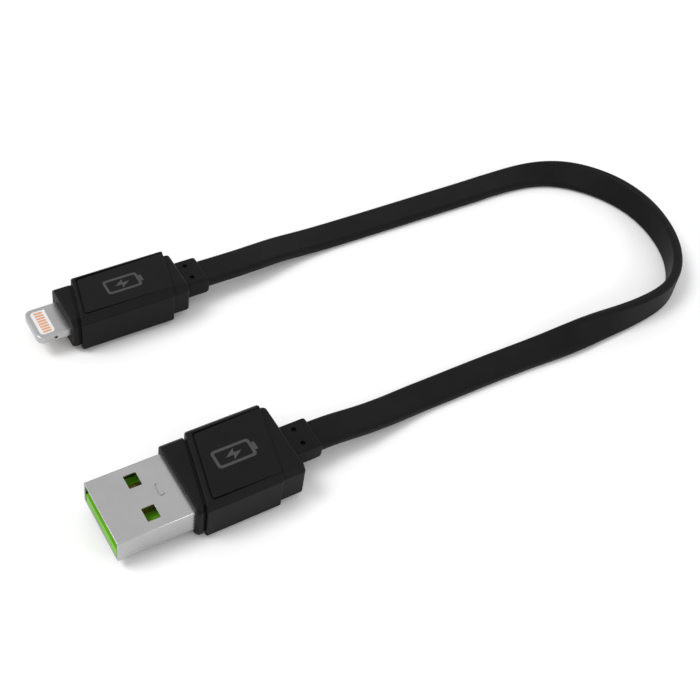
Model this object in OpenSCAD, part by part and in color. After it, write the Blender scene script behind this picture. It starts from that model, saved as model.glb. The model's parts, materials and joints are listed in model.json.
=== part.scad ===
// Flat charging cable: a USB-A plug at one end, a reversible phone plug at the other.
// Millimetres. The floor is z = 0. The origin is under the middle of the USB plug.
// +X runs from the USB plug's mouth to its cable, +Y to the phone plug.

/* [USB plug] */
// Width of the steel shell
usb_shell_w = 12.0; // [11.8:0.1:12.2]
// Height of the steel shell
usb_shell_h = 4.5; // [4.4:0.05:4.6]
// Shell length that stands out of the moulding
usb_shell_out = 12.2; // [11.8:0.1:13]
// Width of the grip
usb_grip_w = 14.6; // [14.2:0.1:16]
// Length of the moulding, front rim to rear face
usb_body_len = 18.1; // [18:0.1:19]

/* [Phone plug] */
// Width of the metal tab
tab_w = 6.7; // [6.6:0.05:6.8]
// Thickness of the metal tab
tab_h = 1.5; // [1.4:0.05:1.6]
// Tab length that stands out of the moulding
tab_out = 5.5; // [5:0.1:7]
// Width of the grip
phone_grip_w = 10.6; // [10:0.1:12]
// Length of the moulding, front rim to rear face
phone_body_len = 20.9; // [20.5:0.1:22]

/* [Both mouldings] */
// Thickness of both grips
grip_h = 7.8; // [7.6:0.1:9]
// Wall of the grip sleeve
grip_wall = 0.7; // [0.6:0.05:0.9]
// How far a grip's ends lean, as rise over run seen from above
slant = 0.226; // [0:0.01:0.25]
// Gap between the front collar and the grip
gap = 0.35; // [0.2:0.05:0.5]
// Groove in front of the panels
groove = 0.3; // [0.2:0.05:0.4]

/* [Cable] */
// Width of the flat jacket
cable_w = 5.4; // [5.2:0.1:5.6]
// Thickness of the flat jacket
cable_h = 1.8; // [1.7:0.05:1.9]
// Spacing of the four wires
wire_pitch = 1.0; // [0.85:0.05:1.05]

/* [Strain reliefs] */
// Width of both strain reliefs
relief_w = 6.0; // [5.9:0.1:6.6]
// Thickness of both strain reliefs
relief_h = 3.4; // [3.4:0.1:4.2]
// Length of the USB plug's strain relief behind its moulding
usb_relief_len = 5.3; // [5:0.1:7]
// Length of the phone plug's strain relief behind its moulding
phone_relief_len = 4.5; // [4.3:0.1:7]

/* [Hidden] */
$fn = 48;

// Every plug part is drawn with x = 0 at its collar's front face, and centred on y = 0
mid = grip_h / 2;                                   // height of every plug's centreline
usb_len = usb_shell_out + usb_body_len + usb_relief_len;
usb_x = usb_shell_out - usb_len / 2;                // collar face of the USB plug
phone_x = -7.4;                                     // collar face of the phone plug
phone_y = 39.1;                                     // centreline of the phone plug
eps = 0.01;

// Mouldings
step = 0.45;              // USB collar and tail are this much inside the grip, all round
phone_step = 0.65;        // the same on the phone plug
edge = 0.8;               // chamfer along the USB moulding
phone_edge = 1.0;         // chamfer along the phone moulding
usb_grip = [2.9, 15.6];   // the grip's ends on the plug's centreline
phone_grip = [2.4, 18.9];
panel_depth = 0.35;       // thickness of a panel, let into the grip
mark_depth = 0.15;        // thickness of a mark, let into its panel
usb_mark_x = 9.2;         // collar face to the middle of the mark
usb_mark_h = 3.4;
phone_mark_x = 10.6;
phone_mark_h = 3.2;
usb_rim = [0.9, 1.15];    // grip left in front of the panel's groove, and along its sides
phone_rim = [0.6, 1.25];

// USB contact block
sheet = 0.3;              // steel thickness
shell_in = 6.3;           // shell length inside the moulding
corner = 0.35;            // outer corner radius of the shell
window = [2.0, 2.45];     // latch window, along and across
window_x = 5.45;          // mouth of the shell to the window
window_y = 3.16;          // centreline to the middle of a window
tongue_h = 1.84;
tongue_w = 10.8;
tongue_x = 0.1;           // the tongue's end inside the mouth
block_x = 8.9;            // mouth of the shell to the solid block
block_end = 7.0;
usb_pin_y = [-3.5, -1, 1, 3.5];
usb_pin_x = [1.3, 2.3, 2.3, 1.3];
pin_w = 1.0;
tail_end = 9.6;
usb_mould_end = 12.6;
floor_z = mid - usb_shell_h / 2 + sheet;            // inside bottom of the shell
tongue_z = floor_z + tongue_h;

// Phone contact block
board_h = 0.6;
board_w = 4.4;
board_end = 10.5;
pad = [1.5, 0.36];
pad_pitch = 0.6;
bay = [2.5, 5.2];         // window in the tab, along and across
bay_x = -4.75;            // its front edge
bay_corner = 0.6;
latch = [1.5, 0.6];       // pocket in each side of the tab, along and up
latch_x = -4.2;           // its front edge
latch_depth = 0.4;
latch_hole = 0.5;         // depth of the round hole at its rear end
tab_corner = 1.2;
shield = [3.0, 11.0];
shield_w = 8.0;
shield_h = 4.2;
shield_wall = 0.25;
phone_mould_end = 15.7;

// Strain reliefs
anchor_w = 7.6;           // part of the relief that the moulding locks in
anchor_h = 4.6;
anchor_stop = 1.2;        // moulding left behind the anchor
hole_d = 0.85;
hole_depth = 0.6;
hole_y = 1.45;
usb_hole_x = 2.5;         // rear face to the holes
phone_hole_x = 1.9;

// Cable section
cable_r = 0.7;            // corner radius of the jacket
wall = 0.4;               // thickness of the jacket
wire_r = 0.38;
core_r = 0.2;
strip = 1.4;              // bare end of each conductor
tail_z = mid - core_r - 0.06;                       // top of the contact tails, under the conductors

// Route of the cable's centreline: x, y, height above lying on the floor,
// and turn of the flat side about the cable, in degrees. 0 lies flat, 90 stands on edge.
ROUTE = [
    [7, 0, 3, 0], [18, 0, 3, 0], [22, 0, 2.8, 0], [26, 0, 2.2, 0],
    [30, 0.3, 1.4, 0], [34, 0.7, 0.7, 0], [38, 1.1, 0.2, 0], [43, 1.2, 0, 0],
    [54, 1.2, 0, 0], [62, 1, 0, 2], [66.5, 0.7, 0, 9], [70, 0.4, 0, 22],
    [73.5, 0.1, 0, 42], [77.5, -0.1, 0, 60], [82.5, -0.3, 0, 74], [88, -0.1, 0, 82],
    [93.3, 0.7, 0, 86], [97.7, 2.8, 0, 89], [101.3, 6.3, 0, 92], [104, 10.9, 0, 95],
    [105.5, 16, 0, 99], [105.9, 21, 0, 104], [105.1, 25.7, 0, 110], [103.5, 29.7, 0, 120],
    [101.2, 33.3, 0, 132], [98.2, 36.5, 0, 145], [94.5, 38.9, 0, 160], [90, 40.3, 0, 172],
    [84, 40.9, 0, 180], [77, 40.9, 0, 180], [68, 41, 0, 180], [57, 41.1, 0, 180],
    [45, 41.2, 0.1, 180], [39, 41, 0.6, 180], [34, 40.6, 1.4, 180], [29, 39.8, 2.2, 180],
    [24, 39.2, 2.8, 180], [18.5, 39.1, 3, 180], [8.3, 39.1, 3, 180]
];

// ---------- plain helpers ----------

// Rectangle with cut corners
module chamfered(w, h, c) {
    x = w / 2;
    y = h / 2;
    polygon([[x - c, -y], [x, c - y], [x, y - c], [x - c, y],
             [c - x, y], [-x, y - c], [-x, c - y], [c - x, -y]]);
}

// Rectangle with round corners
module rounded(w, h, r) {
    square([w - 2 * r, h], center = true);
    square([w, h - 2 * r], center = true);
    for (sx = [-1, 1], sy = [-1, 1])
        translate([sx * (w / 2 - r), sy * (h / 2 - r)]) circle(r);
}

// Bar along X from x0 to x1, about the plug's centreline
module bar(x0, x1) {
    translate([x0, 0, mid]) rotate([90, 0, 90]) linear_extrude(x1 - x0) children();
}

// Upright slab between two leaning ends, w wide
module leaning(x0, x1, w, z0, z1) {
    lean = slant * w / 2;
    translate([0, 0, z0]) linear_extrude(z1 - z0)
        polygon([[x0 - lean, -w / 2], [x1 - lean, -w / 2], [x1 + lean, w / 2], [x0 + lean, w / 2]]);
}

// Side view in X and Z, w wide across y
module sideways(y, w) {
    translate([0, y + w / 2, 0]) rotate([90, 0, 0]) linear_extrude(w) children();
}

module on_usb() { translate([usb_x, 0, 0]) children(); }
module on_phone() { translate([phone_x, phone_y, 0]) children(); }

// ---------- mouldings, shared by both plugs ----------

// Collar, core under the grip, and tail, in one piece
module moulded_body(len, w, ends, inset, c) {
    bar(0, len) chamfered(w - 2 * grip_wall, grip_h - 2 * grip_wall, c);
    intersection() {
        bar(0, len) chamfered(w - 2 * inset, grip_h - 2 * inset, c);
        union() {
            leaning(-len, ends[0] - gap, 2 * w, 0, grip_h);
            leaning(ends[1], 2 * len, 2 * w, 0, grip_h);
        }
    }
}

// Sleeve with a shallow pocket above and below for the panels
module grip_sleeve(len, w, ends, rim, c) {
    difference() {
        intersection() {
            bar(0, len) chamfered(w, grip_h, c);
            leaning(ends[0], ends[1], 2 * w, -1, grip_h + 1);
        }
        bar(-eps, len + eps) chamfered(w - 2 * grip_wall, grip_h - 2 * grip_wall, c);
        pocket(w, ends, rim, grip_h - panel_depth, grip_h + 1);
        pocket(w, ends, rim, -1, panel_depth);
    }
}

// Shallow seat for a panel, open at the grip's rear end
module pocket(w, ends, rim, z0, z1) {
    leaning(ends[0] + rim[0], ends[1] + 1, w - 2 * rim[1], z0, z1);
}

// Plate that fills a pocket, with a groove in front of it that runs out along its sides
module panel(w, ends, rim, z0) {
    front = [ends[0] + rim[0] + groove, w / 2 - rim[1] - groove];
    back = [ends[1], w / 2 - rim[1]];
    translate([0, 0, z0]) linear_extrude(panel_depth)
        polygon([[front.x - slant * front.y, -front.y], [back.x - slant * back.y, -back.y],
                 [back.x + slant * back.y, back.y], [front.x + slant * front.y, front.y]]);
}

// Battery outline with a lightning bolt, h tall
module charge_sign(h) {
    line = 0.14 * h;
    long = 1.9 * h;
    difference() {
        square([long, h], center = true);
        square([long - 2 * line, h - 2 * line], center = true);
    }
    translate([long / 2 - eps, -0.22 * h]) square([0.16 * h, 0.44 * h]);
    polygon(h * [[0.42, 0.06], [0.02, 0.06], [0.1, 0.3], [-0.42, -0.06], [-0.02, -0.06], [-0.1, -0.3]]);
}

// The mark, h tall, flush with its panel; proud makes it a tool that cuts through the surface
module mark(x, h, proud = 0) {
    translate([x, 0, grip_h - mark_depth]) linear_extrude(mark_depth + proud) charge_sign(h);
}

// Strain relief from its locked-in anchor at x0 to its mouth behind the face at len
module relief(x0, len, out, hole_x) {
    difference() {
        union() {
            bar(x0, len - anchor_stop) chamfered(anchor_w, anchor_h, edge);
            bar(x0, len + out) chamfered(relief_w, relief_h, 0.4);
        }
        bar(x0 - eps, len + out + eps) polygon(jacket_outline(0));
        for (side = [-1, 1], up = [-1, 1])
            translate([len + hole_x, side * hole_y, mid + up * (relief_h / 2 - hole_depth / 2)])
                cylinder(d = hole_d, h = hole_depth + eps, center = true);
    }
}

// Room that the body leaves for its strain relief
module relief_room(x0, len) {
    bar(x0, len - anchor_stop) chamfered(anchor_w, anchor_h, edge);
    bar(x0, len + eps) chamfered(relief_w, relief_h, 0.4);
}

// ---------- the cable, swept along ROUTE ----------

// Corners of the jacket, or of the hollow in it, d inside the jacket's surface
function jacket_outline(d) =
    let(w = cable_w / 2 - d, h = cable_h / 2 - d, c = d > 0 ? 0.35 : cable_r)
    [[w, c - h], [w, h - c], [w - c, h], [w / 4, h], [-w / 4, h], [c - w, h],
     [-w, h - c], [-w, c - h], [c - w, -h], [-w / 4, -h], [w / 4, -h], [w - c, -h]];

function round_outline(u, r) = [for (a = [22.5:45:359]) [u + r * cos(a), r * sin(a)]];

// Height of the centreline when the jacket lies on the floor, turned by a
function resting(a) =
    abs(sin(a)) * (cable_w / 2 - cable_r) + abs(cos(a)) * (cable_h / 2 - cable_r) + cable_r;

function heading(i) =
    let(a = ROUTE[max(i - 1, 0)], b = ROUTE[min(i + 1, len(ROUTE) - 1)], d = [b[0] - a[0], b[1] - a[1], 0])
    d / norm(d);

// The outline as a ring of points across the route at point i
function ring(i, outline) =
    let(p = ROUTE[i], t = heading(i), l = [-t[1], t[0], 0], up = [0, 0, 1],
        across = cos(p[3]) * l + sin(p[3]) * up,
        normal = cos(p[3]) * up - sin(p[3]) * l,
        centre = [p[0], p[1], p[2] + resting(p[3])])
    [for (q = outline) centre + q[0] * across + q[1] * normal];

function rings(outline) = [for (i = [0:len(ROUTE) - 1]) ring(i, outline)];

// The outline as an upright ring at x, y, inside a plug
function plug_ring(x, y, outline, flip) = [for (q = outline) [x, y + q[0], mid + flip * q[1]]];

function joined(lists) = [for (l = lists, p = l) p];

// Side faces between the rings, looking out of the tube, or into it when inward is true
function skin(m, n, first, inward) =
    [for (k = [0:m - 2], j = [0:n - 1])
        let(a = first + k * n + j, b = first + k * n + (j + 1) % n, c = b + n, d = a + n)
        each inward ? [[a, b, c], [a, c, d]] : [[a, d, c], [a, c, b]]];

module solid_sweep(r) {
    m = len(r);
    n = len(r[0]);
    start = [for (j = [0:n - 1]) j];
    end = [for (j = [n - 1:-1:0]) (m - 1) * n + j];
    polyhedron(joined(r), concat([start, end], skin(m, n, 0, false)));
}

module hollow_sweep(outer, inner) {
    m = len(outer);
    n = len(outer[0]);
    o = m * n;
    last = (m - 1) * n;
    ends = [for (j = [0:n - 1])
        let(k = (j + 1) % n)
        each [[j, k, o + k], [j, o + k, o + j],
              [last + k, last + j, o + last + j], [last + k, o + last + j, o + last + k]]];
    polyhedron(joined(concat(outer, inner)),
               concat(skin(m, n, 0, false), skin(m, n, o, true), ends));
}

// Across the flat cable, wire i lies here
function wire_u(i) = (i - 1.5) * wire_pitch;

// Rings of wire i: fanned out to its USB pin, along the route, and on to the board.
// bare is how much further than its insulation the conductor runs at both ends.
function wire_rings(i, r, bare) =
    let(o = round_outline(wire_u(i), r), pin = round_outline(usb_pin_y[i], r))
    concat([plug_ring(usb_x + tail_end - bare, 0, pin, 1), plug_ring(usb_x + tail_end + 0.6, 0, pin, 1),
            plug_ring(usb_x + usb_mould_end - 0.6, 0, o, 1)],
           rings(o),
           [plug_ring(phone_x + board_end + strip - bare, phone_y, o, -1)]);

module cable_jacket() {
    color("#1d1d1f") hollow_sweep(rings(jacket_outline(0)), rings(jacket_outline(wall)));
}

module wire(i, colour) {
    color(colour) hollow_sweep(wire_rings(i, wire_r, 0), wire_rings(i, core_r, 0));
}

module conductor(i) {
    color("#b87333") solid_sweep(wire_rings(i, core_r, strip));
}

// ---------- USB plug ----------

module shell_outline(d) {
    rounded(usb_shell_w - 2 * d, usb_shell_h - 2 * d, corner - d);
}

module usb_shell() {
    color("#b4b4b4") on_usb() difference() {
        bar(-usb_shell_out, shell_in) shell_outline(0);
        bar(-usb_shell_out - 1, shell_in + 1) shell_outline(sheet);
        for (side = [-1, 1])
            translate([window_x - usb_shell_out, side * window_y - window[1] / 2, mid - usb_shell_h])
                cube([window[0], window[1], 2 * usb_shell_h]);
    }
}

module usb_pin(i) {
    x0 = usb_pin_x[i] - usb_shell_out;
    sideways(usb_pin_y[i], pin_w)
        polygon([[x0, tongue_z - 0.2], [x0, tongue_z], [x0 + 0.4, tongue_z + 0.1],
                 [block_end, tongue_z + 0.1], [block_end + 0.4, tail_z], [tail_end, tail_z],
                 [tail_end, tail_z - 0.3], [block_end + 0.4, tail_z - 0.3], [block_end, tongue_z - 0.2]]);
}

module usb_insulator() {
    color("#5fa62f") on_usb() difference() {
        union() {
            translate([tongue_x - usb_shell_out, -tongue_w / 2, floor_z])
                cube([block_x, tongue_w, tongue_h]);
            bar(block_x - usb_shell_out, block_end) shell_outline(sheet);
        }
        for (i = [0:3]) usb_pin(i);
    }
}

module usb_contact(i) {
    color("#c9a24a") on_usb() usb_pin(i);
}

// A bead of solder on each tail, around its conductor
module usb_solder_joints() {
    color("#c8c8cc") on_usb() for (y = usb_pin_y) difference() {
        translate([tail_end - 1.3, y, mid]) rotate([0, 90, 0]) cylinder(r = 0.45, h = 1.1);
        translate([tail_end - 2, y, mid]) rotate([0, 90, 0]) cylinder(r = core_r, h = 3);
        translate([tail_end - 2, y - 1, tail_z - 1]) cube([3, 2, 1]);
    }
}

module usb_inner_mould() {
    color("#d8d4c8") on_usb() difference() {
        bar(block_end, usb_mould_end) chamfered(10.4, 5, 0.5);
        bar(block_end - 1, usb_mould_end + 1) square([8.6, 1.6], center = true);
    }
}

module usb_body() {
    color("#242426") on_usb() difference() {
        moulded_body(usb_body_len, usb_grip_w, usb_grip, step, edge);
        bar(-1, block_end) shell_outline(0);
        bar(block_end - eps, usb_mould_end) chamfered(10.4, 5, 0.5);
        relief_room(usb_mould_end - eps, usb_body_len);
    }
}

module usb_grip() {
    color("#222224") on_usb() grip_sleeve(usb_body_len, usb_grip_w, usb_grip, usb_rim, edge);
}

module usb_panel_top() {
    color("#262628") on_usb() difference() {
        panel(usb_grip_w, usb_grip, usb_rim, grip_h - panel_depth);
        mark(usb_mark_x, usb_mark_h, 1);
    }
}

module usb_panel_bottom() {
    color("#262628") on_usb() panel(usb_grip_w, usb_grip, usb_rim, 0);
}

module usb_mark() {
    color("#464646") on_usb() mark(usb_mark_x, usb_mark_h);
}

module usb_strain_relief() {
    color("#202022") on_usb() relief(usb_mould_end, usb_body_len, usb_relief_len, usb_hole_x);
}

// ---------- phone plug ----------

// The tab from above, with round front corners, back to x1
module tab_plan(x1) {
    translate([tab_corner - tab_out, -tab_w / 2]) square([x1 + tab_out - tab_corner, tab_w]);
    translate([-tab_out, tab_corner - tab_w / 2]) square([x1 + tab_out, tab_w - 2 * tab_corner]);
    for (side = [-1, 1])
        translate([tab_corner - tab_out, side * (tab_w / 2 - tab_corner)]) circle(tab_corner);
}

module bay_plan() {
    translate([bay_x + bay[0] / 2, 0]) rounded(bay[0], bay[1], bay_corner);
}

// Shallow pocket with a round hole at its rear end
module latch_pocket() {
    translate([0, -latch_depth, -latch[1] / 2]) cube([latch[0], 2 * latch_depth, latch[1]]);
    translate([latch[0] + 0.2, 0, 0]) rotate([90, 0, 0]) cylinder(d = latch[1], h = 2 * latch_hole, center = true);
}

module board(clear) {
    translate([bay_x + 0.3, -board_w / 2 - clear, mid - board_h / 2 - clear])
        cube([board_end - bay_x - 0.3, board_w + 2 * clear, board_h + 2 * clear]);
}

module phone_pad(i, up) {
    base = up > 0 ? mid + board_h / 2 : mid - tab_h / 2;
    translate([bay_x + (bay[0] - pad[0]) / 2, (i - 3.5) * pad_pitch - pad[1] / 2, base])
        cube([pad[0], pad[1], (tab_h - board_h) / 2]);
}

module phone_tab_frame() {
    color("#b8b8ba") on_phone() difference() {
        union() {
            translate([0, 0, mid - tab_h / 2]) linear_extrude(tab_h) tab_plan(1.5);
            bar(1, shield[0]) square([7.6, 2.4], center = true);
        }
        translate([0, 0, mid - tab_h]) linear_extrude(2 * tab_h) bay_plan();
        board(0.05);
        bar(1.5, shield[0] + 1) square([5.6, 1.6], center = true);
        for (side = [-1, 1]) translate([latch_x, side * tab_w / 2, mid]) latch_pocket();
    }
}

module phone_insulator() {
    color("#e8e6e0") on_phone() difference() {
        translate([0, 0, mid - tab_h / 2]) linear_extrude(tab_h) bay_plan();
        board(0);
        for (i = [0:7], up = [-1, 1]) phone_pad(i, up);
    }
}

module phone_contact_top(i) {
    color("#c98b4e") on_phone() phone_pad(i, 1);
}

module phone_contact_bottom(i) {
    color("#c98b4e") on_phone() phone_pad(i, -1);
}

module phone_circuit_board() {
    color("#1f5c3a") on_phone() board(0);
}

module phone_charge_chip() {
    color("#161618") on_phone() translate([4.2, -1.4, mid + board_h / 2]) cube([3.2, 2.8, 0.8]);
}

// One half of the sheet-metal can, up or down
module shield_half(up) {
    color("#c4c4c6") on_phone() intersection() {
        difference() {
            bar(shield[0], shield[1]) square([shield_w, shield_h], center = true);
            bar(shield[0] - 1, shield[1] + 1)
                square([shield_w - 2 * shield_wall, shield_h - 2 * shield_wall], center = true);
        }
        translate([0, -shield_w, up > 0 ? mid : mid - shield_h]) cube([shield[1] + 1, 2 * shield_w, shield_h]);
    }
}

// A bead of solder at the board's end, around each conductor
module phone_solder_joints() {
    color("#c8c8cc") on_phone() for (i = [0:3])
        translate([board_end, wire_u(i), mid]) rotate([0, 90, 0]) difference() {
            cylinder(r = 0.42, h = 1.1);
            translate([0, 0, -1]) cylinder(r = core_r, h = 3);
        }
}

module phone_inner_mould() {
    color("#d8d4c8") on_phone() difference() {
        bar(shield[1], phone_mould_end) chamfered(7.6, shield_h, 0.5);
        bar(shield[1] - 1, phone_mould_end + 1) square([4.6, 1.4], center = true);
    }
}

module phone_body() {
    color("#242426") on_phone() difference() {
        moulded_body(phone_body_len, phone_grip_w, phone_grip, phone_step, phone_edge);
        bar(-1, 1 + eps) square([tab_w, tab_h], center = true);
        bar(1, phone_mould_end) square([shield_w, shield_h], center = true);
        relief_room(phone_mould_end - eps, phone_body_len);
    }
}

module phone_grip() {
    color("#222224") on_phone()
        grip_sleeve(phone_body_len, phone_grip_w, phone_grip, phone_rim, phone_edge);
}

module phone_panel_top() {
    color("#262628") on_phone() difference() {
        panel(phone_grip_w, phone_grip, phone_rim, grip_h - panel_depth);
        mark(phone_mark_x, phone_mark_h, 1);
    }
}

module phone_panel_bottom() {
    color("#262628") on_phone() panel(phone_grip_w, phone_grip, phone_rim, 0);
}

module phone_mark() {
    color("#464646") on_phone() mark(phone_mark_x, phone_mark_h);
}

module phone_strain_relief() {
    color("#202022") on_phone() relief(phone_mould_end, phone_body_len, phone_relief_len, phone_hole_x);
}

// ---------- drawing ----------

usb_shell();
usb_insulator();
usb_contact(0);  // usb_contact_1
usb_contact(1);  // usb_contact_2
usb_contact(2);  // usb_contact_3
usb_contact(3);  // usb_contact_4
usb_solder_joints();
usb_inner_mould();
usb_body();
usb_grip();
usb_panel_top();
usb_panel_bottom();
usb_mark();
usb_strain_relief();
cable_jacket();
wire(0, "#b03028");  // wire_1
wire(1, "#e4e4e4");  // wire_2
wire(2, "#2f8a46");  // wire_3
wire(3, "#1a1a1a");  // wire_4
conductor(0);  // conductor_1
conductor(1);  // conductor_2
conductor(2);  // conductor_3
conductor(3);  // conductor_4
phone_tab_frame();
phone_insulator();
phone_contact_top(0);  // phone_contact_top_1
phone_contact_top(1);  // phone_contact_top_2
phone_contact_top(2);  // phone_contact_top_3
phone_contact_top(3);  // phone_contact_top_4
phone_contact_top(4);  // phone_contact_top_5
phone_contact_top(5);  // phone_contact_top_6
phone_contact_top(6);  // phone_contact_top_7
phone_contact_top(7);  // phone_contact_top_8
phone_contact_bottom(0);  // phone_contact_bottom_1
phone_contact_bottom(1);  // phone_contact_bottom_2
phone_contact_bottom(2);  // phone_contact_bottom_3
phone_contact_bottom(3);  // phone_contact_bottom_4
phone_contact_bottom(4);  // phone_contact_bottom_5
phone_contact_bottom(5);  // phone_contact_bottom_6
phone_contact_bottom(6);  // phone_contact_bottom_7
phone_contact_bottom(7);  // phone_contact_bottom_8
phone_circuit_board();
phone_charge_chip();
shield_half(1);  // phone_shield_upper
shield_half(-1);  // phone_shield_lower
phone_solder_joints();
phone_inner_mould();
phone_body();
phone_grip();
phone_panel_top();
phone_panel_bottom();
phone_mark();
phone_strain_relief();
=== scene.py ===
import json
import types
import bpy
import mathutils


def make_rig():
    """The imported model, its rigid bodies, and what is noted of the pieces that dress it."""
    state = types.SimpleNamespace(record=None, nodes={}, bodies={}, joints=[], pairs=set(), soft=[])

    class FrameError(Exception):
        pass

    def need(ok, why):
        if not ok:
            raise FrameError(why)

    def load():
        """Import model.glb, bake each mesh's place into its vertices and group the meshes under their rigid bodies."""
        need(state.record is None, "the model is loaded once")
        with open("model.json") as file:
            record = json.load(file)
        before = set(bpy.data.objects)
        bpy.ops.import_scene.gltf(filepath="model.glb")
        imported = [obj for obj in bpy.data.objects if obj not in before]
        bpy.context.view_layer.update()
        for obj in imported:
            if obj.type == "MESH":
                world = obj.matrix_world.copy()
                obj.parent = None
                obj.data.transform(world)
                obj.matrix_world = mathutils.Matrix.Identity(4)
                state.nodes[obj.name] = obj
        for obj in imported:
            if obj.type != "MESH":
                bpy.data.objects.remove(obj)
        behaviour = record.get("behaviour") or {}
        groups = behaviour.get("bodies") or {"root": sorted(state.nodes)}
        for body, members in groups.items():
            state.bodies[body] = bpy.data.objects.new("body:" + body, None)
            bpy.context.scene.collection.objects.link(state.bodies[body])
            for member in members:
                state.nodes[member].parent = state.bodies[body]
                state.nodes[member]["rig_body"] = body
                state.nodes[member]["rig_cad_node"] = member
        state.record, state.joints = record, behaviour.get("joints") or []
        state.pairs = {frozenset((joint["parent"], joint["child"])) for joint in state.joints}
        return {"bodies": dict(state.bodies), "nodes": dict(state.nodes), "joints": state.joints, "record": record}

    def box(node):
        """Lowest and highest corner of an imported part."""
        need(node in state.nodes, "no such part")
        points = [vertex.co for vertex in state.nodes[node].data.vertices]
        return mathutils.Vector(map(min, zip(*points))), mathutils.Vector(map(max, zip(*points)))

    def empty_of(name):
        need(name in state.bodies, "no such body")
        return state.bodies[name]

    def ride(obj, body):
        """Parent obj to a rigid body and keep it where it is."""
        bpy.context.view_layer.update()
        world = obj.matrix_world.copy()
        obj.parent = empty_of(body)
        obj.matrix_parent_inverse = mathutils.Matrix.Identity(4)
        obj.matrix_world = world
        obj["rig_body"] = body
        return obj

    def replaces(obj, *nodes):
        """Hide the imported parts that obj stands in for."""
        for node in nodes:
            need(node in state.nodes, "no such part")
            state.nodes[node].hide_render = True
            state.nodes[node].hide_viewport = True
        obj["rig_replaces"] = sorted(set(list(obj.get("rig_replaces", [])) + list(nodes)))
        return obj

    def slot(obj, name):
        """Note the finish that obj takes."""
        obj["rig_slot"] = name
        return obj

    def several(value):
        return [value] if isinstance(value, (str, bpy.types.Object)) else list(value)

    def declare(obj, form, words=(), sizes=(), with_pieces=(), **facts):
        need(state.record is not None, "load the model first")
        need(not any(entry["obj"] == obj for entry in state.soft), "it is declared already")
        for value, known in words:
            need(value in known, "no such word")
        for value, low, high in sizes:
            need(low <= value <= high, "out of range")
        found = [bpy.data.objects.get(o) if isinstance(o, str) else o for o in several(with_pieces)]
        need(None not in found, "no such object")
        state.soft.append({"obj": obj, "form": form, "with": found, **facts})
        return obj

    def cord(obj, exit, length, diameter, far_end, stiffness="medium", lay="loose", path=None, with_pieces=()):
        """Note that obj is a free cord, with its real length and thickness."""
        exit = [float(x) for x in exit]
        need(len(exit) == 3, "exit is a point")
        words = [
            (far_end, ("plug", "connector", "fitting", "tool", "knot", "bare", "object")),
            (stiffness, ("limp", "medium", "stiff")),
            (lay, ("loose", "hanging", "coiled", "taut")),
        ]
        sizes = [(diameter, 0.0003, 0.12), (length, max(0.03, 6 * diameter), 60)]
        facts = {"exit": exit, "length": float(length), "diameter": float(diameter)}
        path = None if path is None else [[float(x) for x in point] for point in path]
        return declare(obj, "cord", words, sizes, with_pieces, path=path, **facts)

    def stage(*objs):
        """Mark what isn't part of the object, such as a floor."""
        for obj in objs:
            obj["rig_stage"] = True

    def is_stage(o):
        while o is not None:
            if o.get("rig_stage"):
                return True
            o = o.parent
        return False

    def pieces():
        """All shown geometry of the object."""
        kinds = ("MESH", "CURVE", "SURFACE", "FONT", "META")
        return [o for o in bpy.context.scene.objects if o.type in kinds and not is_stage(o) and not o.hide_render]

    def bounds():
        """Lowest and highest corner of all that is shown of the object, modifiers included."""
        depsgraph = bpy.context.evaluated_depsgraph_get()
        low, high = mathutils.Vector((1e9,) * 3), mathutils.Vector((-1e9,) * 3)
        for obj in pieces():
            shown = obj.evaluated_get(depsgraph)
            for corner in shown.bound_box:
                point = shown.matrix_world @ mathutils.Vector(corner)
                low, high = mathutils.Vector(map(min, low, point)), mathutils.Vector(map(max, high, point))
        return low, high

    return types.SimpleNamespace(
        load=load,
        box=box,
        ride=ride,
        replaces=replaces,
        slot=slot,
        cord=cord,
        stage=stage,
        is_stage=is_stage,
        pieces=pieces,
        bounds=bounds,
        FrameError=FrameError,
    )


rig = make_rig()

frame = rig.load()

import json
import math
import bmesh
import bpy
from mathutils import Matrix, Vector

# Sizes are in millimetres in the plugs' own frames: x back from the collar's front face, y across,
# z up from the floor. They turn into metres, in the row's frame, when a mesh is made.
MM = 0.001
SIZE_FILE = "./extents.json"
BODY = "root"

cad_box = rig.bounds()


# ---------- sizes ----------

# Mouldings.
SLANT = 0.226            # lean of the grips' ends, seen from above
GRIP_WALL = 0.7
GAP = 0.35               # between the collar and the grip
BODY_FILLET, GRIP_FILLET, CORE_FILLET = 0.35, 0.4, 0.3      # along the mouldings' long edges
COLLAR_ROUND, GRIP_ROUND, TAIL_ROUND, STEP_ROUND = 0.35, 0.3, 0.55, 0.12    # round their ends

# Panels, and the seats they lie in.
PANEL_DEPTH = 0.35
PANEL_CORNER, SEAT_CORNER = 0.4, 0.6
PANEL_ROUND = 0.12
GROOVE = 0.3             # in front of the panels, and along their sides at the front
PANEL_PLAY = 0.03        # along their sides at the rear, and at their rear ends

# The charging sign on the upper panels. Its length, line, nub and bolt are shares of its width
# across the plug.
SIGN_LENGTH, SIGN_LINE = 1.9, 0.14
SIGN_CORNER, SIGN_INNER_CORNER, NUB_CORNER = 0.55, 0.3, 0.15
NUB_LENGTH, NUB_HALF = 0.16, 0.22
BOLT = ((0.42, 0.06), (0.02, 0.06), (0.1, 0.3), (-0.42, -0.06), (-0.02, -0.06), (-0.1, -0.3))
NUB_GAP = 0.03
SIGN_SUNK, SIGN_PROUD = 0.03, 0.012

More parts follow.
